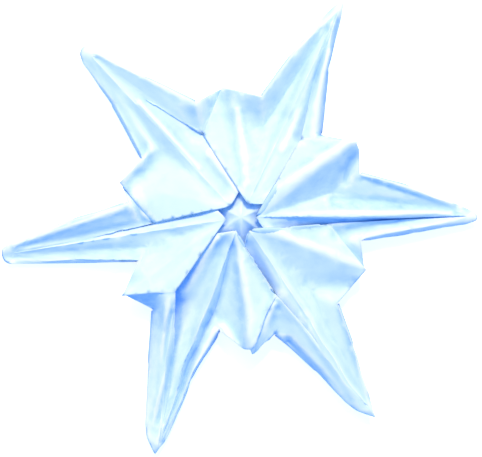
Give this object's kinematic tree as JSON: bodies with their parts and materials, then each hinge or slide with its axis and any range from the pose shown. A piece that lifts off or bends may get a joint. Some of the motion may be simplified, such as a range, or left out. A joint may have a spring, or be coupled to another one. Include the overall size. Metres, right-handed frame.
{
  "type": "folded paper snowflake",
  "caption": "Flat star ornament folded from a sheet of pale paper, with long ridged arms, short points and lapped flaps turning round a small sunk star.",
  "frame": {"origin": "on the surface that the back rests on, under the middle of the small sunk star", "axes": "+Z is the front of the snowflake, +X runs along the arm at the right, +Y is the top of the front view"},
  "size_m": [0.1396, 0.1323, 0.0112],
  "materials": {
    "paper": "matt, pale icy blue"
  },
  "bodies": {
    "root": {"folded_snowflake": "paper"}
  },
  "joints": []
}
